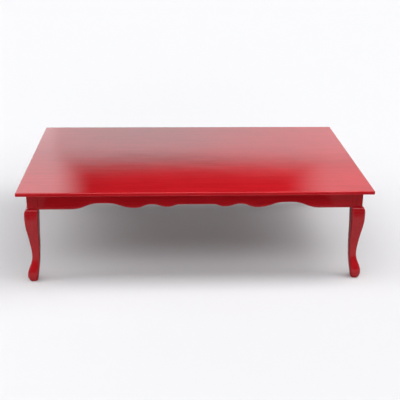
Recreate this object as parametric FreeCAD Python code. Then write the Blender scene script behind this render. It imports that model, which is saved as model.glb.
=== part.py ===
"""Dolls house dining table at one twelfth scale: a plain top on four cabriole legs and scalloped aprons.

Millimetres. +X runs along the table, +Y across it, +Z up. The origin is on the floor, under the
centre of the top. The frame is glued up from loose pieces: each apron has a stub tenon that drops
into an open slot in the leg's square block, a brace is glued and pinned across each corner, a rail
is housed between the two long aprons, and the top sits on the frame over four dowels.
"""

import math
import os

import FreeCAD
import Part

# ---- driving dimensions ----
TOP_LENGTH = 215.0
TOP_WIDTH = 135.0
TABLE_HEIGHT = 60.5
TOP_THICKNESS = 2.2
OVERHANG = 5.5  # from the top's edge in to the leg block's outer face

LEG_BLOCK = 6.6  # side of the square block at the head of each leg
KNEE_DROP = 12.3  # from the table's top surface down to the knee's shoulder

APRON_THICKNESS = 2.2
APRON_SETBACK = 0.6  # apron's face behind the leg block's face
CORNER_DROP = 13.0  # lower edge of an apron beside the leg, below the top surface

TENON_LENGTH = 2.4
TENON_THICKNESS = 1.2
TENON_SHOULDER = 3.2  # apron left standing below its tenon
GLUE_GAP = 0.02  # play round each tenon, dowel and pin

BRACE_THICKNESS = 5.0
BRACE_HEIGHT = 5.0
RAIL_WIDTH = 3.2
RAIL_HEIGHT = 4.4
RAIL_HOUSING = 0.8  # depth the rail's end is let into the apron

DOWEL_RADIUS = 0.75
DOWEL_INTO_TOP = 1.2
DOWEL_INTO_LEG = 2.6
BRAD_RADIUS = 0.35
BRAD_HEAD_RADIUS = 0.7
BRAD_HEAD_HEIGHT = 0.3
BRAD_INTO_LEG = 2.6

TOP_ARRIS = 0.45  # rounding of the top's upper edge
UNDER_ARRIS = 0.3
TOP_CORNER_RADIUS = 0.7
BLOCK_ARRIS = 0.3
APRON_ARRIS = 0.2

# ---- places worked out from them ----
FRAME_TOP = TABLE_HEIGHT - TOP_THICKNESS
KNEE_Z = TABLE_HEIGHT - KNEE_DROP
HALF_FRAME_X = TOP_LENGTH / 2 - OVERHANG  # block's outer face
HALF_FRAME_Y = TOP_WIDTH / 2 - OVERHANG
APRON_OUT_X = HALF_FRAME_X - APRON_SETBACK  # outer face of the short aprons
APRON_OUT_Y = HALF_FRAME_Y - APRON_SETBACK
APRON_IN_X = APRON_OUT_X - APRON_THICKNESS
APRON_IN_Y = APRON_OUT_Y - APRON_THICKNESS
HALF_SPAN_X = HALF_FRAME_X - LEG_BLOCK  # half the long apron's shoulder length
HALF_SPAN_Y = HALF_FRAME_Y - LEG_BLOCK
TENON_INSET = APRON_SETBACK + (APRON_THICKNESS - TENON_THICKNESS) / 2
TENON_FOOT_Z = TABLE_HEIGHT - CORNER_DROP + TENON_SHOULDER
SLOT_FOOT_Z = TENON_FOOT_Z - GLUE_GAP
BLOCK_CENTRE_X = HALF_FRAME_X - LEG_BLOCK / 2
BLOCK_CENTRE_Y = HALF_FRAME_Y - LEG_BLOCK / 2
DOWEL_OFFSET = 1.35  # from the block's centre, outwards both ways, clear of both slots
BRACE_Z = FRAME_TOP - BRACE_HEIGHT / 2

# The leg's curve: height, how far the outer faces stand out from the block's outer faces, how far
# the inner faces lie in from them, and the corner radius as a share of the side.
LEG_STATIONS = (
    (KNEE_Z, 0.00, 6.60, 0.06),
    (KNEE_Z - 0.6, 1.05, 6.58, 0.08),
    (KNEE_Z - 1.7, 1.60, 6.53, 0.11),
    (KNEE_Z - 4.8, 1.95, 6.42, 0.14),
    (KNEE_Z - 9.7, 1.88, 6.25, 0.15),
    (KNEE_Z - 15.7, 1.10, 6.00, 0.16),
    (KNEE_Z - 21.7, 0.20, 5.85, 0.18),
    (KNEE_Z - 27.7, -0.50, 5.60, 0.20),
    (16.5, -0.65, 5.35, 0.22),
    (13.2, -0.30, 5.15, 0.24),
    (10.0, 0.80, 4.85, 0.27),
    (6.9, 2.00, 4.50, 0.30),
    (4.3, 2.45, 4.10, 0.33),
    (2.2, 2.30, 3.75, 0.35),
    (0.8, 1.80, 3.45, 0.37),
    (0.0, 1.20, 3.05, 0.38),
)

# Lower edge of an apron from its middle outwards: distance from the middle and depth below the top
# surface at each crest and trough. Two in a row at one depth make a flat.
LONG_SCALLOP = (
    (0.0, 10.3),
    (9.6, 10.3),
    (17.6, 11.8),
    (27.0, 10.1),
    (37.2, 12.4),
    (55.0, 9.2),
    (58.5, 9.2),
    (76.0, CORNER_DROP),
    (HALF_SPAN_X, CORNER_DROP),
)
SHORT_SCALLOP = (
    (0.0, 10.3),
    (5.4, 10.3),
    (13.4, 12.2),
    (26.0, 9.4),
    (28.5, 9.4),
    (43.0, CORNER_DROP),
    (HALF_SPAN_Y, CORNER_DROP),
)

CORNERS = {  # name, sign of x, sign of y, turn about the vertical from the (+x, +y) corner
    "back_right": (1, 1, 0),
    "back_left": (-1, 1, 90),
    "front_left": (-1, -1, 180),
    "front_right": (1, -1, 270),
}

UP = FreeCAD.Vector(0, 0, 1)
ORIGIN = FreeCAD.Vector(0, 0, 0)


def vec(x, y, z=0.0):
    return FreeCAD.Vector(x, y, z)


def slab(x0, x1, y0, y1, z0, z1):
    """A box between two corners."""
    return Part.makeBox(x1 - x0, y1 - y0, z1 - z0, vec(x0, y0, z0))


def edges_where(shape, keep):
    """The edges whose middle point passes the test."""
    return [e for e in shape.Edges if keep(e.CenterOfMass)]


def turned(shape, degrees):
    """A copy turned about the table's vertical centre line."""
    copy = shape.copy()
    copy.rotate(ORIGIN, UP, degrees)
    return copy


# ---- legs ----
def rounded_square(low, high, radius, z):
    """A closed wire: a square from low to high both ways, with rounded corners."""
    a = low + radius
    b = high - radius
    s = radius * math.sqrt(0.5)
    inner = [(b, b), (a, b), (a, a), (b, a)]  # corner arc centres, anticlockwise
    arcs = []
    for i, (cx, cy) in enumerate(inner):
        angle = i * math.pi / 2
        first = vec(cx + radius * math.cos(angle), cy + radius * math.sin(angle), z)
        last = vec(cx - radius * math.sin(angle), cy + radius * math.cos(angle), z)
        along = (1 if i in (0, 3) else -1) * s
        across = (1 if i in (0, 1) else -1) * s
        middle = vec(cx + along, cy + across, z)
        arcs.append(Part.Arc(first, middle, last).toShape())
    edges = []
    for i, arc in enumerate(arcs):
        following = arcs[(i + 1) % 4]
        edges.append(arc)
        edges.append(Part.makeLine(arc.lastVertex().Point, following.firstVertex().Point))
    return Part.Wire(edges)


def leg_blank():
    """A leg about its block's vertical centre line, its knee and toe pointing along (+x, +y)."""
    half = LEG_BLOCK / 2
    wires = []
    for z, outer, inner, share in LEG_STATIONS:
        side = outer + inner
        wires.append(rounded_square(half - inner, half + outer, side * share, z))
    curved = Part.makeLoft(wires, True, False)
    block = slab(-half, half, -half, half, KNEE_Z, FRAME_TOP)
    upright = edges_where(block, lambda c: abs(c.x) > half - 0.01 and abs(c.y) > half - 0.01)
    block = block.makeFillet(BLOCK_ARRIS, upright)
    return block.fuse(curved)


def leg_slot():
    """Room for one apron tenon, open at the top of the block, on the face towards -x."""
    half = LEG_BLOCK / 2
    out = half - TENON_INSET
    return slab(
        -half - 1.0,
        -half + TENON_LENGTH + GLUE_GAP,
        out - TENON_THICKNESS - GLUE_GAP,
        out + GLUE_GAP,
        SLOT_FOOT_Z,
        FRAME_TOP + 1.0,
    )


def leg():
    """One whole leg with its two slots, its dowel hole and the hole that its brad makes."""
    solid = leg_blank()
    slot = leg_slot()
    other = slot.mirror(ORIGIN, vec(1, -1))
    hole = Part.makeCylinder(
        DOWEL_RADIUS + GLUE_GAP,
        DOWEL_INTO_LEG + GLUE_GAP + 1.0,
        vec(DOWEL_OFFSET, DOWEL_OFFSET, FRAME_TOP - DOWEL_INTO_LEG - GLUE_GAP),
    )
    inner_edge = -LEG_BLOCK / 2
    pin = Part.makeCylinder(
        BRAD_RADIUS + GLUE_GAP,
        1.0 + BRAD_INTO_LEG + GLUE_GAP,
        vec(inner_edge, inner_edge, BRACE_Z) - vec(math.sqrt(0.5), math.sqrt(0.5)),
        vec(1, 1),
    )
    for cutter in (slot, other, hole, pin):
        solid = solid.cut(cutter)
    return solid.Solids[0]


def legs():
    """The four legs, each turned so that its knee points out of its own corner."""
    blank = leg()
    found = {}
    for name, (sx, sy, degrees) in CORNERS.items():
        placed = turned(blank, degrees)
        placed.translate(vec(sx * BLOCK_CENTRE_X, sy * BLOCK_CENTRE_Y))
        found["leg_" + name] = placed
    return found


# ---- aprons ----
def wave(start, end):
    """An S curve between a crest and a trough, level at both, in the XZ plane."""
    (x0, z0), (x1, z1) = start, end
    if abs(z0 - z1) < 1e-6:
        return Part.makeLine(vec(x0, 0, z0), vec(x1, 0, z1))
    middle = (x0 + x1) / 2
    curve = Part.BezierCurve()
    curve.setPoles([vec(x0, 0, z0), vec(middle, 0, z0), vec(middle, 0, z1), vec(x1, 0, z1)])
    return curve.toShape()


def scalloped_board(scallop):
    """A board along X, centred on x = 0, with its outer face on y = 0 and its thickness towards +y."""
    half = [(x, TABLE_HEIGHT - drop) for x, drop in scallop]
    left = [(-x, z) for x, z in reversed(half)]
    line = left + half[1:]
    edges = [wave(a, b) for a, b in zip(line, line[1:])]
    end = scallop[-1][0]
    foot = line[-1][1]
    edges.append(Part.makeLine(vec(end, 0, foot), vec(end, 0, FRAME_TOP)))
    edges.append(Part.makeLine(vec(end, 0, FRAME_TOP), vec(-end, 0, FRAME_TOP)))
    edges.append(Part.makeLine(vec(-end, 0, FRAME_TOP), vec(-end, 0, foot)))
    face = Part.Face(Part.Wire(Part.__sortEdges__(edges)))
    return face.extrude(vec(0, APRON_THICKNESS, 0))


def apron(scallop):
    """A scalloped board with its stub tenons, in the board's own place on y = 0."""
    board = scalloped_board(scallop)
    lower_front = edges_where(
        board,
        lambda c: abs(c.y) < 0.01 and c.z < FRAME_TOP - 1 and abs(c.x) < scallop[-1][0] - 0.01,
    )
    board = board.makeFillet(APRON_ARRIS, lower_front)
    end = scallop[-1][0]
    y0 = (APRON_THICKNESS - TENON_THICKNESS) / 2
    for x0, x1 in ((-end - TENON_LENGTH, -end + 1.0), (end - 1.0, end + TENON_LENGTH)):
        tenon = slab(x0, x1, y0, y0 + TENON_THICKNESS, TENON_FOOT_Z, FRAME_TOP)
        board = board.fuse(tenon)
    return board.removeSplitter()


def rail_end_housing():
    """The shallow housing for the centre rail's end, in a long apron lying on y = 0."""
    half = RAIL_WIDTH / 2 + GLUE_GAP
    return slab(
        -half,
        half,
        APRON_THICKNESS - RAIL_HOUSING - GLUE_GAP,
        APRON_THICKNESS + 1.0,
        FRAME_TOP - RAIL_HEIGHT - GLUE_GAP,
        FRAME_TOP + 1.0,
    )


def aprons():
    """The four aprons, each with its scalloped face outwards."""
    long_board = apron(LONG_SCALLOP).cut(rail_end_housing()).Solids[0]
    short_board = apron(SHORT_SCALLOP).Solids[0]
    long_board.translate(vec(0, -APRON_OUT_Y))
    short_board.translate(vec(0, -APRON_OUT_X))
    return {
        "apron_front": long_board,
        "apron_back": turned(long_board, 180),
        "apron_right": turned(short_board, 90),
        "apron_left": turned(short_board, 270),
    }


# ---- what holds the frame together ----
def corner_brace():
    """The brace across the (+x, +y) corner: its ends mitred on the aprons, its back on the leg's edge."""
    leg_edge_x = HALF_FRAME_X - LEG_BLOCK
    leg_edge_y = HALF_FRAME_Y - LEG_BLOCK
    back = leg_edge_x + leg_edge_y  # x + y along the brace's back
    front = back - BRACE_THICKNESS * math.sqrt(2)
    outline = [
        vec(back - APRON_IN_Y, APRON_IN_Y),
        vec(front - APRON_IN_Y, APRON_IN_Y),
        vec(APRON_IN_X, front - APRON_IN_X),
        vec(APRON_IN_X, back - APRON_IN_X),
    ]
    outline.append(outline[0])
    solid = Part.Face(Part.makePolygon(outline)).extrude(vec(0, 0, BRACE_HEIGHT))
    solid.translate(vec(0, 0, FRAME_TOP - BRACE_HEIGHT))
    hole = Part.makeCylinder(
        BRAD_RADIUS + GLUE_GAP,
        BRACE_THICKNESS + 2.0,
        brad_entry() - vec(math.sqrt(0.5), math.sqrt(0.5)),
        vec(1, 1),
    )
    return solid.cut(hole).Solids[0]


def brad_entry():
    """Where a brad's axis meets the brace's inner face, at the (+x, +y) corner."""
    step = BRACE_THICKNESS * math.sqrt(0.5)
    return vec(HALF_FRAME_X - LEG_BLOCK - step, HALF_FRAME_Y - LEG_BLOCK - step, BRACE_Z)


def brad():
    """A headed pin through the (+x, +y) brace into the leg."""
    outwards = vec(math.sqrt(0.5), math.sqrt(0.5))
    start = brad_entry()
    shank = Part.makeCylinder(BRAD_RADIUS, BRACE_THICKNESS + BRAD_INTO_LEG, start, outwards)
    head = Part.makeCylinder(
        BRAD_HEAD_RADIUS, BRAD_HEAD_HEIGHT, start - outwards * BRAD_HEAD_HEIGHT, outwards
    )
    return head.fuse(shank).removeSplitter().Solids[0]


def at_each_corner(solid):
    """Copies of a (+x, +y) corner piece that is alike about both centre planes."""
    found = {}
    for name, (sx, sy, _) in CORNERS.items():
        copy = solid.copy()
        if sx < 0:
            copy = copy.mirror(ORIGIN, vec(1, 0))
        if sy < 0:
            copy = copy.mirror(ORIGIN, vec(0, 1))
        found[name] = copy
    return found


def centre_rail():
    """The rail under the middle of the top, let into both long aprons."""
    half_length = APRON_IN_Y + RAIL_HOUSING
    return slab(
        -RAIL_WIDTH / 2,
        RAIL_WIDTH / 2,
        -half_length,
        half_length,
        FRAME_TOP - RAIL_HEIGHT,
        FRAME_TOP,
    )


def dowel_places():
    """Centres of the four dowels between the legs and the top."""
    x = BLOCK_CENTRE_X + DOWEL_OFFSET
    y = BLOCK_CENTRE_Y + DOWEL_OFFSET
    return [(sx * x, sy * y) for sx, sy, _ in CORNERS.values()]


def top_dowels():
    length = DOWEL_INTO_LEG + DOWEL_INTO_TOP
    return Part.makeCompound(
        [
            Part.makeCylinder(DOWEL_RADIUS, length, vec(x, y, FRAME_TOP - DOWEL_INTO_LEG))
            for x, y in dowel_places()
        ]
    )


# ---- top ----
def table_top():
    """One board with eased edges and four blind dowel holes in its underside."""
    half_x = TOP_LENGTH / 2
    half_y = TOP_WIDTH / 2
    board = slab(-half_x, half_x, -half_y, half_y, FRAME_TOP, TABLE_HEIGHT)
    upright = edges_where(board, lambda c: FRAME_TOP + 0.1 < c.z < TABLE_HEIGHT - 0.1)
    board = board.makeFillet(TOP_CORNER_RADIUS, upright)
    board = board.makeFillet(TOP_ARRIS, edges_where(board, lambda c: c.z > TABLE_HEIGHT - 0.01))
    board = board.makeFillet(UNDER_ARRIS, edges_where(board, lambda c: c.z < FRAME_TOP + 0.01))
    for x, y in dowel_places():
        depth = DOWEL_INTO_TOP + GLUE_GAP
        hole = Part.makeCylinder(DOWEL_RADIUS + GLUE_GAP, depth + 1.0, vec(x, y, FRAME_TOP - 1.0))
        board = board.cut(hole)
    return board.Solids[0]


def build():
    """Every node's name and shape."""
    nodes = {"table_top": table_top(), "centre_rail": centre_rail(), "top_dowels": top_dowels()}
    nodes.update(legs())
    nodes.update(aprons())
    for name, brace in at_each_corner(corner_brace()).items():
        nodes["corner_brace_" + name] = brace
    nodes["corner_brads"] = Part.makeCompound(list(at_each_corner(brad()).values()))
    return nodes


def main():
    os.makedirs("parts", exist_ok=True)
    for name, shape in sorted(build().items()):
        if not shape.isValid():
            raise ValueError(name + " is not a valid shape")
        shape.exportStep(os.path.join("parts", name + ".step"))
        print(name, len(shape.Solids), "solid(s)", round(shape.Volume, 1), "mm3")


main()
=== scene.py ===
"""Looks of the dolls house dining table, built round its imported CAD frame. Metres, +Z up.

The builders read sections, faces and holes off the CAD nodes and put closer, softer meshes in their
place, so no size of the table is repeated here. Only finishing details have dimensions of their own.
"""

import math

import bmesh
import bpy
import numpy as np
from mathutils import Matrix, Quaternion, Vector, noise


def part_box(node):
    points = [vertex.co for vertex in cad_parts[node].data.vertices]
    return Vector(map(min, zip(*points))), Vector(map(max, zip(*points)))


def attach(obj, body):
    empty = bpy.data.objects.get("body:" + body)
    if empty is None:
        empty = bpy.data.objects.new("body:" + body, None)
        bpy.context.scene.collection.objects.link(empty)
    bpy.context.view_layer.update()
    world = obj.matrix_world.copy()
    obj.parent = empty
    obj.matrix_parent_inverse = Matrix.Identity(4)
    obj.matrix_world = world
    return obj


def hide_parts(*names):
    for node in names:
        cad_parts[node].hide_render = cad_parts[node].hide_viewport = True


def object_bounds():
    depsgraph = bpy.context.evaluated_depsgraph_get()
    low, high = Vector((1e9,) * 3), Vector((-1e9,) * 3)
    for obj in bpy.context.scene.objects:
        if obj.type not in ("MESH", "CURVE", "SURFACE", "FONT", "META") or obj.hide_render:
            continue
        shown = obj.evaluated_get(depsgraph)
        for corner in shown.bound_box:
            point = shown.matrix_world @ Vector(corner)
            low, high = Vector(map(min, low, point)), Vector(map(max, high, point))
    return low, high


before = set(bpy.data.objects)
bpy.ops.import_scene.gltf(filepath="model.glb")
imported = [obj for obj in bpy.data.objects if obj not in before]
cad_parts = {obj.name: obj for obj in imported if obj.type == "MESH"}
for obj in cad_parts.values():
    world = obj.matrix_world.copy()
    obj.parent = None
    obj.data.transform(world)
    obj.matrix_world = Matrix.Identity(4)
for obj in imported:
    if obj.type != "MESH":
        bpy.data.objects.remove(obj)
cad_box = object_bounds()

MM = 0.001
CORNERS = (("back_right", 1, 1), ("back_left", -1, 1), ("front_left", -1, -1), ("front_right", 1, -1))
SIDES = (("front", 0, -1), ("back", 0, 1), ("left", 1, -1), ("right", 1, 1))  # axis it runs along, side

# ---- colours ----
TOP_RED = (0.54, 0.0074, 0.0134)
# The frame's lacquer is the top's red made darker: partly painted shade on the upright faces under the top.
FRAME_RED_WITH_SHADE = (0.42, 0.0058, 0.0106)
STAIN_RED = (0.20, 0.008, 0.010, 1)
OVERSPRAY_RED = (0.24, 0.012, 0.014, 1)
COAT_ROUGHNESS = 0.05

# ---- finishing details ----
GLUE_GAP = 0.02 * MM  # play round each tenon, dowel and brad
HAND_WORK = 0.06 * MM  # how far a carved face wanders from true
SLIVER = 0.001 * MM  # edges shorter than this are merged
NUDGE = 0.02 * MM  # a section is taken this far to one side of a level where the shape changes
SHARP_ANGLE = math.radians(32.0)  # edges bent more than this are not shaded smooth

LEG_LEVEL_STEP = 0.5 * MM
KNEE_LEVEL_STEP = 0.25 * MM
BLOCK_LEVEL_STEP = 1.4 * MM
CORNER_STEPS = 6  # faces round each arris of a leg
FLAT_SHARES = (0.07, 0.3, 0.5, 0.7, 0.93)  # where the points between two arrises of a leg lie
FOOT_ARRIS = 0.1 * MM
HEAD_ARRIS = 0.06 * MM
CAP_STEPS = (0.45 * MM, 1.1 * MM)  # how far in the rings on a leg's flat ends lie
KNEE_BAND = 3.0 * MM  # the stretch under the knee's ledge that has closer sections
KNEE_ARRIS = 0.3 * MM
KNEE_GROOVE_DEPTH = 0.2 * MM
KNEE_GROOVE_HEIGHT = 0.45 * MM
SLOT_LENGTH = 6.0 * MM  # longer than a tenon, so that its slot opens on the leg's inner face

APRON_COLUMN_STEP = 0.8 * MM
APRON_FRONT_ARRIS = 0.35 * MM
APRON_BACK_ARRIS = 0.15 * MM
APRON_TOP_ARRIS = 0.12 * MM
APRON_SHARES = (0.06, 0.25, 0.5, 0.75, 1.0)  # heights of the points on an apron's two faces
APRON_SHOWN = 13  # faces round an apron, from the top of its outer face, that carry lacquer

TOP_CELL = 3.0 * MM
TOP_SWELL = 0.012 * MM  # depth of the lacquer's slow waves on the top
TOP_SWELL_FADE = 6.0 * MM  # the waves die away this close to the edge
TOP_RIM = 0.6 * MM  # flat strip between the grid and the rounded edge
TOP_UPPER_ARRIS = 0.65 * MM
TOP_LOWER_ARRIS = 0.3 * MM

BRACE_ARRIS = 0.25 * MM
RAIL_ARRIS = 0.2 * MM
DOWEL_ARRIS = 0.12 * MM
BRAD_SIDES = 20
BRAD_HEAD = (  # distance from the crown in millimetres, share of the head's radius
    (0.0, 0.25),
    (0.02, 0.5),
    (0.06, 0.75),
    (0.13, 0.93),
    (0.2, 1.0),
    (0.27, 0.97),
    (0.3, 0.9),
)

# ---- camera and studio ----
CAMERA_PLACE = (-20.36 * MM, -490.5 * MM, 228.0 * MM)
CAMERA_YAW = math.radians(3.0)
CAMERA_PITCH = math.radians(22.14)
CAMERA_ROLL = math.radians(0.74)
CAMERA_LENS = 68.9  # for a sensor 36 mm wide
FLOOR_REACH = 12.0  # from the table to the floor's edges
FLOOR_GREY = 0.72
BACKDROP = 1.0  # brightness of the plain ground behind the table
CARD_LIFT = 0.5 * MM
CARD_RINGS = (  # distance from the table to the near and far edge, grey
    (-67 * MM, -4 * MM, 0.3),
    (-4 * MM, 108 * MM, 0.43),
    (108 * MM, 900 * MM, 0.02),
)
CORNER_CARD = (5 * MM, 92 * MM, 210 * MM, 150 * MM, 0.165)  # near edges in x and y, far edges, grey
NET_HEIGHT = 75 * MM  # over the top of the table
SHADE_LEFT, SHADE_RIGHT = 0.2, 0.7  # share of the light that the back nets let through
SHADE_FRONT = 0.3


def make_camera():
    data = bpy.data.cameras.new("camera")
    data.sensor_width = 36.0
    data.lens = CAMERA_LENS
    data.clip_start = 0.01
    data.clip_end = 50.0
    camera = bpy.data.objects.new("camera", data)
    camera.location = CAMERA_PLACE
    level = math.cos(CAMERA_PITCH)
    looking = Vector((math.sin(CAMERA_YAW) * level, math.cos(CAMERA_YAW) * level, -math.sin(CAMERA_PITCH)))
    camera.rotation_mode = "QUATERNION"
    camera.rotation_quaternion = looking.to_track_quat("-Z", "Y") @ Quaternion((0, 0, 1), CAMERA_ROLL)
    bpy.context.scene.collection.objects.link(camera)
    bpy.context.scene.camera = camera


# ---- small helpers for node trees ----
def new_tree(name):
    material = bpy.data.materials.new(name)
    material.use_nodes = True
    tree = material.node_tree
    tree.nodes.clear()
    return material, tree


def node(tree, kind, **settings):
    made = tree.nodes.new(kind)
    for key, value in settings.items():
        setattr(made, key, value)
    return made


def link(tree, source, target):
    tree.links.new(source, target)


def feed(tree, socket, value):
    """Sets a socket to a value, or links it to another socket."""
    if isinstance(value, bpy.types.NodeSocket):
        link(tree, value, socket)
    else:
        socket.default_value = value


def maths(tree, operation, first, second=None):
    made = node(tree, "ShaderNodeMath", operation=operation)
    feed(tree, made.inputs[0], first)
    if second is not None:
        feed(tree, made.inputs[1], second)
    return made.outputs[0]


def product(tree, first, *others):
    for other in others:
        first = maths(tree, "MULTIPLY", first, other)
    return first


def vector_maths(tree, operation, first, second):
    made = node(tree, "ShaderNodeVectorMath", operation=operation)
    feed(tree, made.inputs[0], first)
    feed(tree, made.inputs[1], second)
    return made.outputs[0]


def smooth_step(tree, value, low, high, at_low, at_high):
    """A smooth change from one level to another as a value goes from low to high."""
    step = node(tree, "ShaderNodeMapRange", interpolation_type="SMOOTHSTEP")
    step.inputs["From Min"].default_value = low
    step.inputs["From Max"].default_value = high
    step.inputs["To Min"].default_value = at_low
    step.inputs["To Max"].default_value = at_high
    link(tree, value, step.inputs["Value"])
    return step.outputs["Result"]


def mix_colours(tree, share, first, second, blend="MIX"):
    made = node(tree, "ShaderNodeMix", data_type="RGBA", blend_type=blend)
    feed(tree, made.inputs["Factor"], share)
    feed(tree, made.inputs["A"], first)
    feed(tree, made.inputs["B"], second)
    return made.outputs["Result"]


def mottle(tree, vector, scale, detail, roughness=0.5, distortion=0.0):
    """Blender's noise along a vector, about 0.5 in the mean."""
    made = node(tree, "ShaderNodeTexNoise")
    link(tree, vector, made.inputs["Vector"])
    made.inputs["Scale"].default_value = scale
    made.inputs["Detail"].default_value = detail
    made.inputs["Roughness"].default_value = roughness
    made.inputs["Distortion"].default_value = distortion
    return made.outputs["Fac"]


# ---- stage ----
def one_sided(name, grey):
    """A matt card material that shows only on its upper side: from below it is clear."""
    material, tree = new_tree(name)
    out = node(tree, "ShaderNodeOutputMaterial")
    card = node(tree, "ShaderNodeBsdfDiffuse")
    card.inputs["Color"].default_value = (grey, grey, grey, 1)
    clear = node(tree, "ShaderNodeBsdfTransparent")
    mix = node(tree, "ShaderNodeMixShader")
    geometry = node(tree, "ShaderNodeNewGeometry")
    link(tree, geometry.outputs["Backfacing"], mix.inputs[0])
    link(tree, card.outputs[0], mix.inputs[1])
    link(tree, clear.outputs[0], mix.inputs[2])
    link(tree, mix.outputs[0], out.inputs["Surface"])
    return material


def stage_mesh(name, points, faces, material):
    mesh = bpy.data.meshes.new(name)
    mesh.from_pydata(points, [], faces)
    mesh.materials.append(material)
    made = bpy.data.objects.new(name, mesh)
    bpy.context.scene.collection.objects.link(made)
    return made


def make_floor():
    corners = [(FLOOR_REACH * x, FLOOR_REACH * y, 0) for x, y in ((-1, -1), (1, -1), (1, 1), (-1, 1))]
    stage_mesh("floor", corners, [(0, 1, 2, 3)], one_sided("floor_paper", FLOOR_GREY))


def sun(name, leaning, strength, spread):
    """Parallel light. leaning is how far it comes from +x and from +y, in degrees off the vertical."""
    data = bpy.data.lights.new(name, "SUN")
    data.energy = strength
    data.angle = math.radians(spread)
    light = bpy.data.objects.new(name, data)
    towards = Vector((math.tan(math.radians(leaning[0])), math.tan(math.radians(leaning[1])), 1.0))
    light.rotation_mode = "QUATERNION"
    light.rotation_quaternion = (-towards).to_track_quat("-Z", "Y")
    bpy.context.scene.collection.objects.link(light)
    return light


def make_world():
    """The studio that the table reflects. All heights and sides are parts of a unit direction.

    A pale wall stands round the table up to about 20 degrees: bright behind it, most of all on the
    left, dim at the sides and nearly black in front. Behind the table are a soft box on the left and
    a dimmer one on the right. High in front is a large soft box, and a strip of light runs overhead
    from side to side."""
    world = bpy.data.worlds.new("studio")
    bpy.context.scene.world = world
    world.use_nodes = True
    tree = world.node_tree
    background = tree.nodes["Background"]
    background.inputs["Color"].default_value = (0.97, 0.97, 1.0, 1)
    direction = node(tree, "ShaderNodeTexCoord").outputs["Generated"]
    split = node(tree, "ShaderNodeSeparateXYZ")
    link(tree, direction, split.inputs[0])
    x, y, z = split.outputs
    bearing = maths(tree, "ARCTAN2", x, y)

    wall = product(
        tree,
        smooth_step(tree, z, 0.308, 0.350, 1.2, 0.01),
        smooth_step(tree, bearing, math.radians(-2.0), math.radians(12.0), 1.15, 1.0),
        smooth_step(tree, y, 0.45, 0.8, 0.35, 1.0),
        smooth_step(tree, y, -0.5, -0.1, 0.15, 1.0),
    )
    left_box = product(
        tree,
        smooth_step(tree, z, 0.28, 0.33, 1.8, 1.52),
        smooth_step(tree, bearing, math.radians(-9.0), math.radians(-5.5), 1.0, 0.0),
    )
    right_box = smooth_step(tree, bearing, math.radians(9.5), math.radians(13.5), 0.0, 0.9)
    back_boxes = product(
        tree,
        maths(tree, "ADD", left_box, right_box),
        smooth_step(tree, z, 0.45, 0.55, 1.0, 0.0),
        smooth_step(tree, y, 0.0, 0.3, 0.0, 1.0),
    )
    front_box = product(
        tree,
        smooth_step(tree, z, 0.56, 0.68, 0.0, 2.3),
        smooth_step(tree, z, 0.85, 0.92, 1.0, 0.0),
        smooth_step(tree, y, -0.35, -0.2, 1.0, 0.0),
    )
    strip = product(
        tree,
        smooth_step(tree, maths(tree, "ABSOLUTE", y), 0.14, 0.24, 1.0, 0.0),
        smooth_step(tree, z, 0.45, 0.6, 0.0, 3.4),
    )
    level = wall
    for lamp in (back_boxes, front_box, strip):
        level = maths(tree, "MAXIMUM", level, lamp)

    shown = node(tree, "ShaderNodeMix", data_type="FLOAT")
    feed(tree, shown.inputs["Factor"], node(tree, "ShaderNodeLightPath").outputs["Is Camera Ray"])
    feed(tree, shown.inputs["A"], level)
    feed(tree, shown.inputs["B"], BACKDROP)
    link(tree, shown.outputs["Result"], background.inputs["Strength"])


def make_cards():
    """Grey card on the floor all round the table, seen only by reflections and bounced light."""
    low, high = cad_box
    for ring, (near, far, grey) in enumerate(CARD_RINGS):
        points = []
        for away in (near, far):
            for x, y in ((low.x - away, low.y - away), (high.x + away, low.y - away),
                         (high.x + away, high.y + away), (low.x - away, high.y + away)):
                points.append((x, y, CARD_LIFT))
        faces = [(i, 4 + i, 4 + (i + 1) % 4, (i + 1) % 4) for i in range(4)]
        hide_card(stage_mesh("card_ring_%d" % ring, points, faces, one_sided("card_%d" % ring, grey)))
    near_x, near_y, far_x, far_y, grey = CORNER_CARD
    points = []
    for _, sx, sy in CORNERS:
        for x, y in ((near_x, near_y), (far_x, near_y), (far_x, far_y), (near_x, far_y))[::sx * sy]:
            points.append((sx * (high.x + x), sy * (high.y + y), 2 * CARD_LIFT))
    faces = [tuple(range(i, i + 4)) for i in range(0, 16, 4)]
    hide_card(stage_mesh("corner_cards", points, faces, one_sided("corner_card", grey)))


def hide_card(card):
    card.visible_camera = False
    card.visible_shadow = False
    card.visible_transmission = False


def make_net(name, corners, passes):
    """A net that the camera and reflections don't see, which only holds back part of the light."""
    material, tree = new_tree(name)
    out = node(tree, "ShaderNodeOutputMaterial")
    clear = node(tree, "ShaderNodeBsdfTransparent")
    clear.inputs["Color"].default_value = (passes, passes, passes, 1)
    link(tree, clear.outputs[0], out.inputs["Surface"])
    net = stage_mesh(name, corners, [(0, 1, 2, 3)], material)
    net.visible_camera = False
    net.visible_glossy = False
    net.visible_transmission = False


def make_nets():
    """Three nets over the table: the one at the back right holds back little, the others a lot."""
    low, high = cad_box
    left, right, middle = low.x - 15 * MM, high.x + 15 * MM, 40 * MM
    front, back, halfway = low.y - 10 * MM, high.y + 30 * MM, -20 * MM
    for name, x0, x1, y0, y1, passes in (
        ("net_back_left", left, middle, halfway, back, SHADE_LEFT),
        ("net_back_right", middle, right, halfway, back, SHADE_RIGHT),
        ("net_front_left", left, -45 * MM, front, halfway, SHADE_FRONT),
    ):
        z = high.z + NET_HEIGHT
        make_net(name, [(x0, y0, z), (x1, y0, z), (x1, y1, z), (x0, y1, z)], passes)


def make_lights():
    make_world()
    make_cards()
    make_nets()
    sun("key", (20, 2), 0.52, 26)
    fill = sun("fill", (0, -82), 1.2, 40)
    fill.visible_glossy = False


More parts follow.
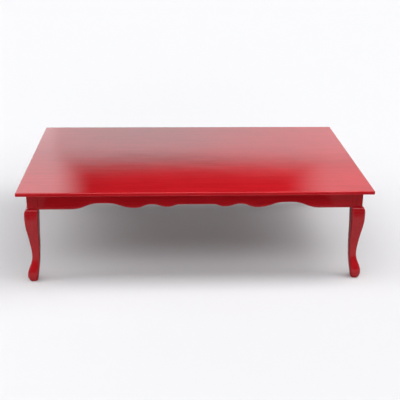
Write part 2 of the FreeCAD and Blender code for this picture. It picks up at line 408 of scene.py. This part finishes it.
# ---- materials ----
def grain_space(tree, along, seed):
    """Object coordinates in millimetres, shifted by the seed, and the same drawn out along the grain."""
    place = node(tree, "ShaderNodeTexCoord").outputs["Object"]
    in_mm = vector_maths(tree, "MULTIPLY", place, (1 / MM, 1 / MM, 1 / MM))
    shifted = vector_maths(tree, "ADD", in_mm, (17.3 * seed, 41.9 * seed, 8.7 * seed))
    stretch = [1.0, 1.0, 1.0]
    stretch["xyz".index(along)] = 0.05
    return shifted, vector_maths(tree, "MULTIPLY", shifted, tuple(stretch))


def bump(tree, height, distance):
    made = node(tree, "ShaderNodeBump")
    made.inputs["Distance"].default_value = distance
    link(tree, height, made.inputs["Height"])
    return made.outputs["Normal"]


def arris_share(tree, low, high):
    """0 on flats, rising to 1 on outward edges."""
    pointed = node(tree, "ShaderNodeNewGeometry").outputs["Pointiness"]
    return smooth_step(tree, pointed, low, high, 0.0, 1.0)


def principled(tree, tint, rough, normal, **settings):
    """The material's shader: three sockets linked, and others set to the same value all over."""
    shader = node(tree, "ShaderNodeBsdfPrincipled")
    link(tree, tint, shader.inputs["Base Color"])
    link(tree, rough, shader.inputs["Roughness"])
    link(tree, normal, shader.inputs["Normal"])
    for name, value in settings.items():
        shader.inputs[name.replace("_", " ")].default_value = value
    link(tree, shader.outputs[0], node(tree, "ShaderNodeOutputMaterial").inputs["Surface"])
    return shader


def wood_grain(tree, grain, figure_scale, figure_twist, streak_scale, streak_roughness=0.6):
    """Broad ribbon figure and fine streaks, both along the grain."""
    figure = mottle(tree, grain, figure_scale, 5, 0.6, figure_twist)
    return figure, mottle(tree, grain, streak_scale, 3, streak_roughness)


def lacquer(name, along, seed, colour):
    """Red stained mahogany under gloss lacquer: faint ribbon figure and pores in the wood, slow waves
    and fine orange peel in the lacquer, worn thin colour and a painted highlight on the arrises, and pooled
    colour and painted shade in the corners."""
    material, tree = new_tree(name)
    space, grain = grain_space(tree, along, seed)
    red, green, blue = colour
    dark = (red * 0.88, green * 0.7, blue * 0.75, 1)
    light = (min(red * 1.08, 1), green * 1.5, blue * 1.3, 1)
    in_pores = (red * 0.4, green * 0.3, blue * 0.3, 1)
    # Lighter, pinker red for the arrises: worn thin colour, and partly a painted highlight along the edges.
    worn_and_highlit_arrises = (min(red * 1.3, 1), green * 5, blue * 3, 1)
    # Much darker red for hollows: pooled colour and painted shade in the corners.
    pooled_shaded_corners = (red * 0.35, green * 0.3, blue * 0.3, 1)

    figure = mottle(tree, grain, 0.42, 4, 0.55, 0.5)
    streaks = mottle(tree, grain, 2.6, 3, 0.6)
    pores = smooth_step(tree, mottle(tree, grain, 6.5, 1), 0.60, 0.72, 0.0, 1.0)
    cloud = mottle(tree, space, 0.05, 2)
    share = maths(tree, "ADD", maths(tree, "MULTIPLY", figure, 0.6), maths(tree, "MULTIPLY", streaks, 0.3))
    share = maths(tree, "ADD", share, maths(tree, "MULTIPLY", cloud, 0.3))
    share = smooth_step(tree, share, 0.40, 0.80, 0.0, 1.0)
    tint = mix_colours(tree, share, dark, light)
    tint = mix_colours(tree, maths(tree, "MULTIPLY", pores, 0.35), tint, in_pores)
    # Outward edges get the worn colour, which is also a painted highlight line along them.
    patchy = smooth_step(tree, cloud, 0.35, 0.65, 0.25, 0.6)
    worn = maths(tree, "MULTIPLY", arris_share(tree, 0.52, 0.60), patchy)
    tint = mix_colours(tree, worn, tint, worn_and_highlit_arrises)
    # Painted shade: the red turns darker where the surface folds inwards, at corners and creases.
    pointed = node(tree, "ShaderNodeNewGeometry").outputs["Pointiness"]
    pooled_and_shaded = smooth_step(tree, pointed, 0.40, 0.48, 0.5, 0.0)
    tint = mix_colours(tree, pooled_and_shaded, tint, pooled_shaded_corners)
    rough = smooth_step(tree, streaks, 0.3, 0.7, 0.36, 0.46)

    pore_height = maths(tree, "SUBTRACT", maths(tree, "MULTIPLY", streaks, 0.3), pores)
    waves = mottle(tree, space, 0.09, 1)
    peel = maths(tree, "MULTIPLY", mottle(tree, space, 0.8, 2), 0.12)
    sunk = maths(tree, "MULTIPLY", pores, 0.05)
    coat_height = maths(tree, "SUBTRACT", maths(tree, "ADD", waves, peel), sunk)
    shader = principled(
        tree, tint, rough, bump(tree, pore_height, 0.012 * MM),
        Specular_IOR_Level=0.0, Coat_Weight=1.0, Coat_Roughness=COAT_ROUGHNESS,
    )
    link(tree, bump(tree, coat_height, 0.012 * MM), shader.inputs["Coat Normal"])
    return material


def inner_stain(name, along, seed):
    """The faces that nobody sees: mahogany with one thin, dry coat of red stain sprayed unevenly on it."""
    material, tree = new_tree(name)
    space, grain = grain_space(tree, along, seed)
    figure, streaks = wood_grain(tree, grain, 0.5, 0.4, 3.0)
    wood = mix_colours(tree, smooth_step(tree, figure, 0.35, 0.65, 0.0, 1.0),
                       (0.165, 0.05, 0.028, 1), (0.30, 0.105, 0.055, 1))
    pores = smooth_step(tree, mottle(tree, grain, 6.0, 2), 0.58, 0.68, 0.0, 0.7)
    wood = mix_colours(tree, pores, wood, (0.07, 0.018, 0.012, 1))
    spray = mottle(tree, space, 0.12, 3, 0.55)
    cover = smooth_step(tree, spray, 0.36, 0.62, 0.45, 0.92)
    tint = mix_colours(tree, cover, wood, STAIN_RED)
    dryness = maths(tree, "ADD", streaks, maths(tree, "MULTIPLY", cover, 0.2))
    rough = smooth_step(tree, dryness, 0.4, 0.9, 0.68, 0.45)
    fuzz = mottle(tree, space, 2.4, 2)
    height = maths(tree, "ADD", maths(tree, "MULTIPLY", streaks, 0.6), maths(tree, "MULTIPLY", fuzz, 0.4))
    height = maths(tree, "SUBTRACT", height, maths(tree, "MULTIPLY", pores, 0.8))
    principled(tree, tint, rough, bump(tree, height, 0.05 * MM), Specular_IOR_Level=0.4)
    return material


def bare_wood(name, along, seed):
    """Sawn and lightly sanded mahogany, left bare but for stray red overspray, with saw marks across it."""
    material, tree = new_tree(name)
    space, grain = grain_space(tree, along, seed)
    figure, streaks = wood_grain(tree, grain, 0.7, 0.6, 3.4, 0.65)
    wood = mix_colours(tree, smooth_step(tree, figure, 0.32, 0.68, 0.0, 1.0),
                       (0.30, 0.125, 0.062, 1), (0.50, 0.245, 0.135, 1))
    pores = smooth_step(tree, mottle(tree, grain, 7.0, 2), 0.57, 0.66, 0.0, 0.75)
    wood = mix_colours(tree, pores, wood, (0.13, 0.045, 0.025, 1))
    spray = smooth_step(tree, mottle(tree, space, 0.35, 4, 0.6), 0.50, 0.72, 0.0, 0.75)
    tint = mix_colours(tree, spray, wood, OVERSPRAY_RED)
    worn = maths(tree, "MULTIPLY", arris_share(tree, 0.52, 0.62), 0.35)
    tint = mix_colours(tree, worn, tint, (0.60, 0.36, 0.22, 1))
    rough = smooth_step(tree, streaks, 0.3, 0.7, 0.62, 0.82)
    saw = node(tree, "ShaderNodeTexWave", wave_type="BANDS", bands_direction=along.upper())
    link(tree, space, saw.inputs["Vector"])
    saw.inputs["Scale"].default_value = 0.55
    saw.inputs["Distortion"].default_value = 2.2
    saw.inputs["Detail"].default_value = 2.0
    saw_marks = maths(tree, "MULTIPLY", saw.outputs["Fac"], 0.35)
    height = maths(tree, "ADD", saw_marks, maths(tree, "MULTIPLY", streaks, 0.6))
    height = maths(tree, "SUBTRACT", height, maths(tree, "MULTIPLY", pores, 0.8))
    principled(tree, tint, rough, bump(tree, height, 0.06 * MM), Specular_IOR_Level=0.35)
    return material


def brass(name):
    """Plain drawn wire: bright brass with a little tarnish in patches and hammer scuffs."""
    material, tree = new_tree(name)
    space, _ = grain_space(tree, "z", 1)
    tarnish = smooth_step(tree, mottle(tree, space, 1.6, 4, 0.6), 0.42, 0.66, 0.0, 1.0)
    tint = mix_colours(tree, tarnish, (0.80, 0.56, 0.25, 1), (0.36, 0.22, 0.09, 1))
    scuffs = mottle(tree, space, 9.0, 3, 0.7)
    dull = smooth_step(tree, tarnish, 0.0, 1.0, 0.18, 0.42)
    rough = maths(tree, "ADD", dull, maths(tree, "MULTIPLY", scuffs, 0.12))
    principled(tree, tint, rough, bump(tree, scuffs, 0.01 * MM), Metallic=1.0)
    return material


# ---- reading the frame ----
def edge_ends(name):
    """The first and last points of every edge of a CAD node, as two arrays."""
    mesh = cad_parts[name].data
    points = np.empty(len(mesh.vertices) * 3, np.float32)
    mesh.vertices.foreach_get("co", points)
    points = points.reshape(-1, 3).astype(float)
    ends = np.empty(len(mesh.edges) * 2, np.int32)
    mesh.edges.foreach_get("vertices", ends)
    ends = ends.reshape(-1, 2)
    return points[ends[:, 0]], points[ends[:, 1]]


def section(ends, axis, level):
    """The points where a CAD node's edges cross the plane at a level on one axis."""
    first, last = ends
    before = first[:, axis] - level
    after = last[:, axis] - level
    crossing = before * after < 0
    share = before[crossing] / (before[crossing] - after[crossing])
    return first[crossing] + share[:, None] * (last[crossing] - first[crossing])


def corner_points(name, sx, sy):
    """The vertices of a CAD node that lie in one quarter of the table."""
    points = [v.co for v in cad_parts[name].data.vertices]
    return [p for p in points if p.x * sx > 0 and p.y * sy > 0]


def points_box(points):
    """The lowest and highest corners of a box round some points."""
    return [Vector([pick(p[i] for p in points) for i in range(3)]) for pick in (min, max)]


def spread(start, end, step):
    """Even steps from start to end, no longer than step."""
    count = max(1, math.ceil(abs(end - start) / step))
    return [start + (end - start) * i / count for i in range(count + 1)]


# ---- building meshes ----
def loft(rings, face_material=None):
    """A closed mesh through rings of equally many points, with a flat cap at each end."""
    made = bmesh.new()
    rows = [[made.verts.new(p) for p in ring] for ring in rings]
    count = len(rings[0])
    for row, following in zip(rows, rows[1:]):
        for i in range(count):
            j = (i + 1) % count
            face = made.faces.new((row[i], row[j], following[j], following[i]))
            if face_material is not None:
                face.material_index = face_material(i)
    made.faces.new(rows[0][::-1])
    made.faces.new(rows[-1])
    return made


def finish_mesh(made, name, materials):
    """Turns a bmesh into an object of the table, shaded smooth but for its sharp edges."""
    bmesh.ops.remove_doubles(made, verts=made.verts, dist=SLIVER / 10)
    bmesh.ops.dissolve_degenerate(made, edges=made.edges, dist=SLIVER / 10)
    bmesh.ops.recalc_face_normals(made, faces=made.faces)
    mesh = bpy.data.meshes.new(name)
    made.to_mesh(mesh)
    made.free()
    for material in materials:
        mesh.materials.append(material)
    mesh.shade_smooth()
    mesh.set_sharp_from_angle(angle=SHARP_ANGLE)
    piece = bpy.data.objects.new(name, mesh)
    bpy.context.scene.collection.objects.link(piece)
    return piece


def settle(piece, cad_node):
    """Puts a finished piece in its CAD node's place."""
    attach(piece, "root")
    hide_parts(cad_node)


def box_cutter(low, high):
    made = bmesh.new()
    bmesh.ops.create_cube(made, size=1.0)
    size = Vector(high) - Vector(low)
    middle = (Vector(high) + Vector(low)) / 2
    matrix = Matrix.Translation(middle) @ Matrix.Diagonal((*size, 1))
    bmesh.ops.transform(made, matrix=matrix, verts=made.verts)
    return made


def round_cutter(start, end, radius, sides=24):
    made = bmesh.new()
    axis = Vector(end) - Vector(start)
    turn = axis.to_track_quat("Z", "Y").to_matrix().to_4x4()
    matrix = Matrix.Translation((Vector(start) + Vector(end)) / 2) @ turn
    bmesh.ops.create_cone(made, cap_ends=True, segments=sides, radius1=radius, radius2=radius,
                          depth=axis.length, matrix=matrix)
    return made


def cut(piece, cutters, material_index):
    """Cuts each cutter out of a piece, and gives the walls of the cuts one of its materials."""
    for cutter in cutters:
        for face in cutter.faces:
            face.material_index = material_index
        mesh = bpy.data.meshes.new("cutter")
        cutter.to_mesh(mesh)
        cutter.free()
        for material in piece.data.materials:
            mesh.materials.append(material)
        tool = bpy.data.objects.new("cutter", mesh)
        bpy.context.scene.collection.objects.link(tool)
        modifier = piece.modifiers.new("cut", "BOOLEAN")
        modifier.operation = "DIFFERENCE"
        modifier.solver = "EXACT"
        modifier.object = tool
        depsgraph = bpy.context.evaluated_depsgraph_get()
        result = bpy.data.meshes.new_from_object(piece.evaluated_get(depsgraph))
        piece.modifiers.clear()
        piece.data = result
        bpy.data.objects.remove(tool)
    mend(piece.data)
    piece.data.set_sharp_from_angle(angle=SHARP_ANGLE)


def mend(mesh):
    """Merges the slivers that a cut leaves and closes any gap between them."""
    made = bmesh.new()
    made.from_mesh(mesh)
    bmesh.ops.remove_doubles(made, verts=made.verts, dist=SLIVER)
    bmesh.ops.dissolve_degenerate(made, edges=made.edges, dist=SLIVER)
    bmesh.ops.holes_fill(made, edges=[e for e in made.edges if e.is_boundary], sides=0)
    made.to_mesh(mesh)
    made.free()


# ---- legs ----
def leg_ring(low, high, radius, level, wander):
    """Points round a leg's section, anticlockwise from the outer corner's start."""
    x0, y0 = low
    x1, y1 = high
    centres = ((x1 - radius, y1 - radius), (x0 + radius, y1 - radius),
               (x0 + radius, y0 + radius), (x1 - radius, y0 + radius))
    ring = []
    for i, (cx, cy) in enumerate(centres):
        for k in range(CORNER_STEPS + 1):
            angle = (i + k / CORNER_STEPS) * math.pi / 2
            ring.append((cx + radius * math.cos(angle), cy + radius * math.sin(angle)))
        ax, ay = ring[-1]
        nx, ny = centres[(i + 1) % 4]
        angle = (i + 1) * math.pi / 2
        bx, by = nx + radius * math.cos(angle), ny + radius * math.sin(angle)
        for share in FLAT_SHARES:
            ring.append((ax + (bx - ax) * share, ay + (by - ay) * share))
    middle = Vector(((x0 + x1) / 2, (y0 + y1) / 2))
    points = []
    for x, y in ring:
        flat = Vector((x, y))
        outwards = (flat - middle).normalized()
        moved = flat + outwards * wander(x, y, level)
        points.append((moved.x, moved.y, level))
    return points


def knee_groove(height):
    """Depth of the small groove just above the knee, at a height over the knee's top."""
    share = height / KNEE_GROOVE_HEIGHT
    if not 0.0 < share < 1.0:
        return 0.0
    return KNEE_GROOVE_DEPTH * min(1.0, 4.0 * share, 2.5 * (1.0 - share))


def find_knee(ends, top, foot):
    """The level at which a leg's square block ends and its knee starts to stand out."""
    face = section(ends, 2, top - 1.0 * MM)[:, 0].max()
    for level in spread(top - 2.0 * MM, foot, NUDGE):
        if section(ends, 2, level)[:, 0].max() > face + NUDGE / 2:
            return level + NUDGE
    raise ValueError("the leg has no knee")


def shrunk_ring(ring, step, level):
    """A ring drawn in towards its middle by a step, and moved to a level."""
    middle = Vector((sum(p[0] for p in ring), sum(p[1] for p in ring))) / len(ring)
    drawn_in = []
    for x, y, _ in ring:
        flat = Vector((x, y))
        flat -= (flat - middle).normalized() * step
        drawn_in.append((flat.x, flat.y, level))
    return drawn_in


def build_leg(corner, sx, sy, seed, materials):
    """One cabriole leg, as lofted sections of its CAD node with softer arrises and a cut shoulder."""
    name = "leg_" + corner
    ends = tuple(part * (sx, sy, 1) for part in edge_ends(name))
    foot = min(ends[0][:, 2].min(), ends[1][:, 2].min())
    top = max(ends[0][:, 2].max(), ends[1][:, 2].max())
    knee = find_knee(ends, top, foot)
    levels = spread(foot + FOOT_ARRIS, knee - KNEE_BAND, LEG_LEVEL_STEP)[:-1]
    levels += spread(knee - KNEE_BAND, knee - KNEE_ARRIS, KNEE_LEVEL_STEP)[:-1]
    levels += [knee - KNEE_ARRIS * share for share in (1.0, 0.4, 0.013)]
    levels += [knee + KNEE_GROOVE_HEIGHT * share for share in (0.12, 0.25, 0.6, 0.8, 1.02)]
    levels += spread(knee + 1.0 * MM, top - 0.1 * MM, BLOCK_LEVEL_STEP)

    def wander(x, y, level):
        fade = min(1.0, max(0.0, (knee - level) / (4.0 * MM))) * min(1.0, (level - foot) / (2.0 * MM))
        slow = noise.noise(Vector((x, y, level * 0.6)) * 260 + Vector((seed * 9.1, 0, 0)))
        quick = noise.noise(Vector((x, y, level)) * 900 + Vector((0, seed * 5.3, 0)))
        return HAND_WORK * fade * (slow + 0.3 * quick)

    rings = []
    for level in levels:
        cut_at = min(max(level, foot + NUDGE), top - NUDGE)
        points = section(ends, 2, cut_at)
        low, high = points.min(0), points.max(0)
        reach = (points[:, 0] + points[:, 1]).max()
        radius = max(0.25 * MM, (high[0] + high[1] - reach) / (2 - math.sqrt(2)))
        depth = knee_groove(level - knee)
        rings.append(leg_ring(low[:2], high[:2] - depth, radius, level, wander))
    lowest, highest = rings[0], rings[-1]
    for step in (FOOT_ARRIS, *CAP_STEPS):
        rings.insert(0, shrunk_ring(lowest, step, foot))
    for step in (HEAD_ARRIS, *CAP_STEPS):
        rings.append(shrunk_ring(highest, step, top))
    rings = [[(x * sx, y * sy, z) for x, y, z in ring] for ring in rings]
    made = loft(rings)
    for face in made.faces:
        if face.calc_center_median().z < foot + NUDGE:
            face.material_index = 1
    piece = finish_mesh(made, "cabriole_" + corner, materials)
    cut(piece, leg_cutters(sx, sy, top), 1)
    settle(piece, name)


def dowel_hole(sx, sy):
    """The place and radius of a corner's dowel hole, and the heights of its two ends."""
    low, high = points_box(corner_points("top_dowels", sx, sy))
    middle = (low + high) / 2
    return middle.x, middle.y, (high.x - low.x) / 2 + GLUE_GAP, low.z - GLUE_GAP, high.z + GLUE_GAP


def leg_cutters(sx, sy, top):
    """Room in a leg for two apron tenons, its dowel and its brad, read off those pieces."""
    cutters = []
    above = top + 1.0 * MM
    for name, axis, sign in (("apron_back" if sy > 0 else "apron_front", 0, sx),
                             ("apron_right" if sx > 0 else "apron_left", 1, sy)):
        low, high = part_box(name)
        tip = high[axis] if sign > 0 else low[axis]
        tenon = section(edge_ends(name), axis, tip - sign * 1.0 * MM)
        start, end = tenon.min(0), tenon.max(0)
        start -= GLUE_GAP
        end += GLUE_GAP
        inside = tip - sign * SLOT_LENGTH
        outside = tip + sign * GLUE_GAP
        start[axis], end[axis] = min(inside, outside), max(inside, outside)
        end[2] = above
        cutters.append(box_cutter(start, end))
    x, y, radius, low_z, _ = dowel_hole(sx, sy)
    cutters.append(round_cutter((x, y, low_z), (x, y, above), radius))
    start, end, shank, _ = brad_line(sx, sy)
    outwards = (end - start).normalized()
    cutters.append(round_cutter(start, end + outwards * GLUE_GAP, shank + GLUE_GAP, 16))
    return cutters


# ---- brads ----
def brad_line(sx, sy):
    """A brad's head, its point, its shank's radius and its head's radius, from the frame."""
    points = corner_points("corner_brads", sx, sy)
    outwards = Vector((sx, sy, 0)).normalized()
    along = [p.dot(outwards) for p in points]
    nearest, furthest = min(along), max(along)
    height = (min(p.z for p in points) + max(p.z for p in points)) / 2
    head_radius = (max(p.z for p in points) - min(p.z for p in points)) / 2
    tips = [p for p, reach in zip(points, along) if reach > furthest - 0.01 * MM]
    shank = (max(p.z for p in tips) - min(p.z for p in tips)) / 2
    sideways = Vector((-sy, sx, 0)).normalized()
    offsets = [p.dot(sideways) for p in points]
    middle = sideways * (min(offsets) + max(offsets)) / 2 + Vector((0, 0, height))
    return middle + outwards * nearest, middle + outwards * furthest, shank, head_radius


def build_brads(materials):
    """Four pins with domed, slightly flattened heads and cut points."""
    whole = bmesh.new()
    up = Vector((0, 0, 1))
    for _, sx, sy in CORNERS:
        start, end, shank, head = brad_line(sx, sy)
        outwards = (end - start).normalized()
        side = up.cross(outwards)
        length = (end - start).length
        stations = [(along * MM, share * head) for along, share in BRAD_HEAD]
        stations += [
            (0.302 * MM, shank * 1.1),
            (0.4 * MM, shank),
            (length - 0.7 * MM, shank),
            (length - 0.3 * MM, shank * 0.6),
            (length, shank * 0.18),
        ]
        rings = []
        for along, radius in stations:
            ring = []
            for i in range(BRAD_SIDES):
                angle = 2 * math.pi * i / BRAD_SIDES
                spoke = side * math.cos(angle) + up * math.sin(angle)
                ring.append(start + outwards * along + spoke * radius)
            rings.append(ring)
        pin = loft(rings)
        mesh = bpy.data.meshes.new("pin")
        pin.to_mesh(mesh)
        pin.free()
        whole.from_mesh(mesh)
        bpy.data.meshes.remove(mesh)
    piece = finish_mesh(whole, "brads", materials)
    settle(piece, "corner_brads")


# ---- aprons ----
def apron_ring(foot, top, outer, inner):
    """Points round a board's section, each how far out it is and its height. They run down the outer
    face, round the foot, up the inner face and over the top."""
    a, b = APRON_FRONT_ARRIS, APRON_BACK_ARRIS
    ring = []
    for share in reversed(APRON_SHARES):
        ring.append((outer, foot + a + (top - APRON_TOP_ARRIS - foot - a) * share))
    for k in range(6):
        angle = k / 5 * math.pi / 2
        ring.append((outer - a + a * math.cos(angle), foot + a - a * math.sin(angle)))
    ring.append(((outer - a + inner + b) / 2, foot))
    for k in range(4):
        angle = k / 3 * math.pi / 2
        ring.append((inner + b - b * math.sin(angle), foot + b - b * math.cos(angle)))
    for share in APRON_SHARES:
        ring.append((inner, foot + b + (top - APRON_TOP_ARRIS - foot - b) * share))
    ring += [(inner + APRON_TOP_ARRIS, top), ((inner + outer) / 2, top), (outer - APRON_TOP_ARRIS, top)]
    return ring


def tenon_shape(ring, nearest, furthest, foot, top):
    """The points of a board's ring drawn in to a tenon's section."""
    outs = [out for out, _ in ring]
    zs = [z for _, z in ring]
    wide = max(outs) - min(outs)
    tall = max(zs) - min(zs)
    shaped = []
    for out, z in ring:
        across = (out - min(outs)) / wide
        up = (z - min(zs)) / tall
        shaped.append((nearest + (furthest - nearest) * across, foot + (top - foot) * up))
    return shaped


def find_shoulder(ends, axis, tip, tenon_foot):
    """How far along an apron its shoulder lies: it reaches deeper there than the tenon does."""
    for level in spread(tip - 0.1 * MM, tip - 8.0 * MM, NUDGE):
        if section(ends, axis, level)[:, 2].min() < tenon_foot - 0.5 * MM:
            return level + NUDGE / 2
    raise ValueError("the apron has no shoulder")


def build_apron(side, axis, sign, seed, materials):
    """One scalloped board with its two stub tenons. It stands out along sign on the other axis."""
    name = "apron_" + side
    ends = edge_ends(name)
    low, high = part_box(name)
    out_axis = 1 - axis
    outer = high[out_axis] if sign > 0 else -low[out_axis]
    inner = low[out_axis] if sign > 0 else -high[out_axis]
    top = high.z
    tip = high[axis]
    tenon = section(ends, axis, tip - 1.0 * MM)
    tenon_out = sorted(abs(tenon[:, out_axis]))
    tenon_foot = tenon[:, 2].min()
    shoulder = find_shoulder(ends, axis, tip, tenon_foot)

    def place(along, out, z):
        point = [0.0, 0.0, z]
        point[axis] = along
        point[out_axis] = out * sign
        return tuple(point)

    def sawn(along):
        """How far a scallop is cut short of its line."""
        slow = noise.noise(Vector((along * 420, seed * 7.7, 0)))
        quick = noise.noise(Vector((along * 1500, seed * 3.1, 5)))
        fade = min(1.0, (shoulder - abs(along)) / (3 * MM))
        return HAND_WORK * 0.8 * fade * max(0.0, slow + 0.4 * quick)

    tenon_ring = tenon_shape(apron_ring(tenon_foot, top, outer, inner), tenon_out[0], tenon_out[-1],
                             tenon_foot, top - 0.03 * MM)
    rings = [[place(along, out, z) for out, z in tenon_ring] for along in (-tip, -shoulder)]
    for along in spread(-shoulder, shoulder, APRON_COLUMN_STEP):
        inside = min(max(along, -shoulder + NUDGE), shoulder - NUDGE)
        foot = section(ends, axis, inside)[:, 2].min() + sawn(along)
        rings.append([place(along, out, z) for out, z in apron_ring(foot, top, outer, inner)])
    rings += [[place(along, out, z) for out, z in tenon_ring] for along in (shoulder, tip)]
    made = loft(rings, lambda i: 1 if i >= APRON_SHOWN else 0)
    piece = finish_mesh(made, "scalloped_" + name, materials)
    if axis == 0:
        rail_low, rail_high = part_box("centre_rail")
        gap = Vector((GLUE_GAP, GLUE_GAP, GLUE_GAP))
        cut(piece, [box_cutter(rail_low - gap, rail_high + gap + Vector((0, 0, MM)))], 1)
    settle(piece, name)


# ---- top ----
def board_points(positions_x, positions_y, half_x, half_y, corner, inset, z):
    """The loop of the grid's rim points set out to a rounded oblong, at an inset and height."""
    last_x, last_y = positions_x[-1], positions_y[-1]
    rim = [(x, -last_y) for x in positions_x[:-1]]
    rim += [(last_x, y) for y in positions_y[:-1]]
    rim += [(x, last_y) for x in reversed(positions_x[1:])]
    rim += [(-last_x, y) for y in reversed(positions_y[1:])]
    radius = max(corner - inset, 0.05 * MM)
    reach_x, reach_y = half_x - inset, half_y - inset
    points = []
    for x, y in rim:
        near_x = (abs(x) - (last_x - corner)) / corner
        near_y = (abs(y) - (last_y - corner)) / corner
        if near_x > 0 and near_y > 0:
            angle = math.pi / 4 * (near_y if near_x >= 1 else 2 - near_x)
            px = reach_x - radius + radius * math.cos(angle)
            py = reach_y - radius + radius * math.sin(angle)
        elif abs(abs(x) - last_x) < 1e-9:
            px = reach_x
            py = abs(y) * (reach_y - radius) / (last_y - corner)
        else:
            px = abs(x) * (reach_x - radius) / (last_x - corner)
            py = reach_y
        points.append((math.copysign(px, x), math.copysign(py, y), z))
    return points


def grid_lines(half, corner, breaks):
    """Symmetric positions for the grid of the top, closer together at the rounded corners."""
    marks = sorted([0.0, *breaks, half - corner])
    lines = []
    for start, end in zip(marks, marks[1:]):
        lines += spread(start, end, TOP_CELL)[:-1]
    lines += spread(half - corner, half, corner / 3)
    return [-x for x in reversed(lines[1:])] + lines


def build_top(materials):
    """The board: two gridded faces with slow waves in the lacquer, and rounded edges between them."""
    low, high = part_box("table_top")
    half_x, half_y = high.x, high.y
    outline = section(edge_ends("table_top"), 2, (low.z + high.z) / 2)
    corner = (half_x + half_y - (outline[:, 0] + outline[:, 1]).max()) / (2 - math.sqrt(2))
    margin = TOP_UPPER_ARRIS + TOP_RIM
    hidden_x = (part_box("apron_right")[0].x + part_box("apron_right")[1].x) / 2
    hidden_y = (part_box("apron_back")[0].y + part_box("apron_back")[1].y) / 2
    lines_x = grid_lines(half_x - margin, corner, [hidden_x])
    lines_y = grid_lines(half_y - margin, corner, [hidden_y])
    upper, lower = TOP_UPPER_ARRIS, TOP_LOWER_ARRIS

    def swell(x, y):
        edge = min(half_x - abs(x), half_y - abs(y)) / TOP_SWELL_FADE
        slow = noise.noise(Vector((x * 22, y * 34, 3.7))) + 0.5 * noise.noise(Vector((x * 61, y * 75, 9.2)))
        return TOP_SWELL * min(1.0, max(0.0, edge)) * (slow - 1.0) * 0.6

    made = bmesh.new()

    def face_grid(z, wave=None):
        return [[made.verts.new((x, y, z + (wave(x, y) if wave else 0.0))) for x in lines_x] for y in lines_y]

    def loop_of(grid):
        rim = list(grid[0][:-1])
        rim += [row[-1] for row in grid[:-1]]
        rim += list(reversed(grid[-1][1:]))
        rim += [row[0] for row in reversed(grid[1:])]
        return rim

    def add_quads(grid, stain):
        for j in range(len(grid) - 1):
            for i in range(len(grid[0]) - 1):
                face = made.faces.new((grid[j][i], grid[j][i + 1], grid[j + 1][i + 1], grid[j + 1][i]))
                middle = face.calc_center_median()
                if stain and abs(middle.x) < hidden_x and abs(middle.y) < hidden_y:
                    face.material_index = 1

    top_grid = face_grid(high.z, swell)
    under_grid = face_grid(low.z)
    add_quads(top_grid, False)
    add_quads(under_grid, True)
    steps = [(upper + 0.15 * MM, high.z)]
    for k in range(9):
        angle = k / 8 * math.pi / 2
        steps.append((upper * (1 - math.sin(angle)), high.z - upper * (1 - math.cos(angle))))
    steps.append((0.0, (high.z + low.z) / 2))
    for k in range(6):
        angle = k / 5 * math.pi / 2
        steps.append((lower * (1 - math.cos(angle)), low.z + lower * (1 - math.sin(angle))))
    steps.append((lower + 0.15 * MM, low.z))
    loops = [loop_of(top_grid)]
    for inset, z in steps:
        points = board_points(lines_x, lines_y, half_x, half_y, corner, inset, z)
        loops.append([made.verts.new(p) for p in points])
    loops.append(loop_of(under_grid))
    count = len(loops[0])
    for loop, following in zip(loops, loops[1:]):
        for i in range(count):
            j = (i + 1) % count
            made.faces.new((loop[i], loop[j], following[j], following[i]))
    piece = finish_mesh(made, "top_board", materials)
    cutters = []
    for _, sx, sy in CORNERS:
        x, y, radius, _, high_z = dowel_hole(sx, sy)
        cutters.append(round_cutter((x, y, low.z - MM), (x, y, high_z), radius))
    cut(piece, cutters, 1)
    settle(piece, "table_top")


# ---- blocks that hold the frame together ----
def build_block(cad_node, name, materials, arris, cuts, seed):
    """A sawn block: its CAD node's shape with eased arrises, and faces that wander inwards a little.

    cuts are pairs of an axis and a distance: the faces are divided that often along it."""
    made = bmesh.new()
    made.from_mesh(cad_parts[cad_node].data)
    bmesh.ops.remove_doubles(made, verts=made.verts, dist=SLIVER)
    bmesh.ops.dissolve_limit(made, angle_limit=math.radians(1.0), verts=made.verts, edges=made.edges)
    sharp = [e for e in made.edges if e.is_manifold and e.calc_face_angle() > math.radians(50)]
    bmesh.ops.bevel(made, geom=sharp, offset=arris, segments=2, profile=0.5, affect="EDGES")
    low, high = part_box(cad_node)
    for axis, step in cuts:
        across = Vector((axis == 0, axis == 1, axis == 2))
        for level in spread(low[axis] + step, high[axis] - step, step):
            whole = [*made.verts, *made.edges, *made.faces]
            bmesh.ops.bisect_plane(made, geom=whole, dist=SLIVER, plane_co=across * level, plane_no=across)
    made.normal_update()
    for vertex in made.verts:
        wander = noise.noise(vertex.co * 600 + Vector((seed * 3.3, 0, 0)))
        vertex.co -= vertex.normal * HAND_WORK * 0.5 * max(0.0, 0.5 + wander)
    settle(finish_mesh(made, name, materials), cad_node)


def build_table():
    build_top([lacquer("top_lacquer", "x", 1, TOP_RED), inner_stain("under_stain", "x", 2)])
    sole = bare_wood("end_grain", "z", 11)
    for seed, (corner, sx, sy) in enumerate(CORNERS, start=3):
        red = lacquer("leg_lacquer_" + corner, "z", seed, FRAME_RED_WITH_SHADE)
        build_leg(corner, sx, sy, seed, [red, sole])
    for seed, (side, axis, sign) in enumerate(SIDES, start=7):
        grain = "xy"[axis]
        red = lacquer("apron_lacquer_" + side, grain, seed, FRAME_RED_WITH_SHADE)
        stain = inner_stain("apron_stain_" + side, grain, seed)
        build_apron(side, axis, sign, seed, [red, stain])
    build_brads([brass("brad_brass")])
    for seed, (corner, _, _) in enumerate(CORNERS, start=21):
        wood = [bare_wood("brace_wood_" + corner, "z", seed)]
        build_block("corner_brace_" + corner, "brace_" + corner, wood, BRACE_ARRIS, ((0, MM), (1, MM)), seed)
    rail_wood = [bare_wood("rail_wood", "y", 31)]
    build_block("centre_rail", "cross_rail", rail_wood, RAIL_ARRIS, ((1, 2 * MM),), 31)
    build_block("top_dowels", "dowels", [bare_wood("dowel_wood", "z", 32)], DOWEL_ARRIS, (), 32)


bpy.context.scene.view_settings.view_transform = "Standard"
make_camera()
make_floor()
make_lights()
build_table()
